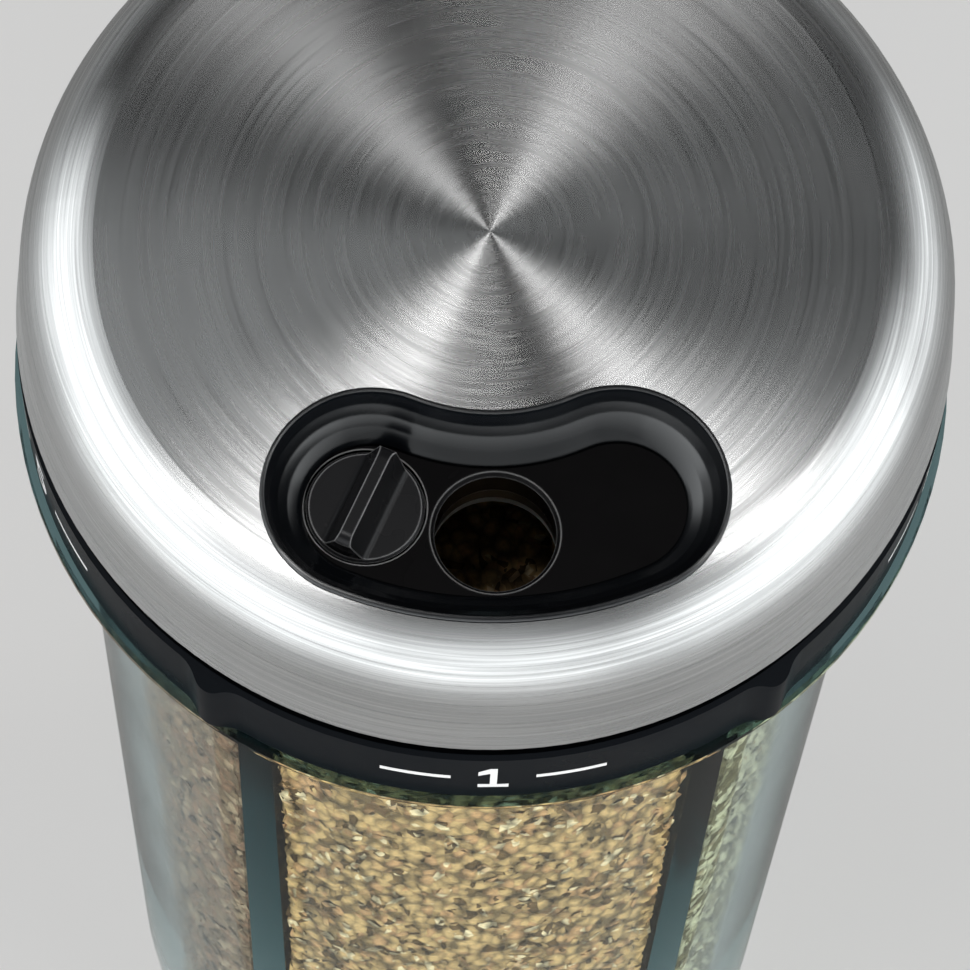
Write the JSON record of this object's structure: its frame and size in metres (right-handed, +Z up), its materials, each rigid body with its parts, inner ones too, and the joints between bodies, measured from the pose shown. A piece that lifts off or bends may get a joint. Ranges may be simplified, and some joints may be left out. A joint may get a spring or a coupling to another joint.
{
  "type": "spice shaker dispenser",
  "caption": "Cylindrical clear multi-compartment herb and spice shaker with a turning brushed-steel lid, a bean-shaped pouring window and a sliding pour and shake selector.",
  "frame": {"origin": "centre of the foot, on the surface that the jar stands on", "axes": "+Z up along the jar's axis, -Y out of the front panel and the pouring window, +X to the right seen from the front"},
  "size_m": [0.0818, 0.082, 0.1789],
  "materials": {
    "clear_moulding": "clear moulded plastic, faint sea-green tint",
    "herb_tan": null,
    "herb_cream": "dried herb flakes, pale cream",
    "herb_green": "dried herb flakes, olive brown",
    "spice_red": "crushed spice, red brown",
    "herb_brown": "dried herb flakes, grey brown",
    "seal_rubber": "food-grade silicone, matte",
    "black_moulding": "moulded, fine satin",
    "collar_black": "moulded, semi-gloss",
    "washer_plastic": "natural nylon",
    "bush_plastic": "natural acetal",
    "screw_steel": "plain zinc-plated steel",
    "spring_steel": "spring strip",
    "gloss_black": "moulded, high gloss",
    "brushed_cap": "spun stainless steel, concentric brushing",
    "selector_black": "moulded, semi-gloss"
  },
  "bodies": {
    "jar": {"jar_body": "clear_moulding", "herb_fill_1": "herb_tan", "herb_fill_2": "herb_cream", "herb_fill_3": "herb_green", "herb_fill_4": "spice_red", "herb_fill_5": "herb_brown"},
    "head": {"jar_gasket": "seal_rubber", "mouth_plate": "black_moulding", "label_collar": "collar_black", "thrust_washer": "washer_plastic", "centre_screw": "screw_steel"},
    "lid": {"pivot_bush": "bush_plastic", "lid_base": "black_moulding", "sealing_disc": "seal_rubber", "click_spring": "spring_steel", "outlet_ring": "seal_rubber", "lid_core": "gloss_black", "lid_screws": "screw_steel", "steel_cap": "brushed_cap"},
    "selector": {"selector_disc": "selector_black", "selector_grip": "selector_black"}
  },
  "joints": [
    {"name": "head_lift", "type": "slide", "parent": "jar", "child": "head", "axis": [0, 0, 1], "range_m": [0, 0.04]},
    {"name": "lid_turn", "type": "hinge", "parent": "head", "child": "lid", "pos_m": [0, 0, 0.165], "axis": [0, 0, 1], "continuous": true},
    {"name": "selector_slide", "type": "hinge", "parent": "lid", "child": "selector", "pos_m": [0, 0, 0.1746], "axis": [0, 0, 1], "range_deg": [0, 50]}
  ]
}
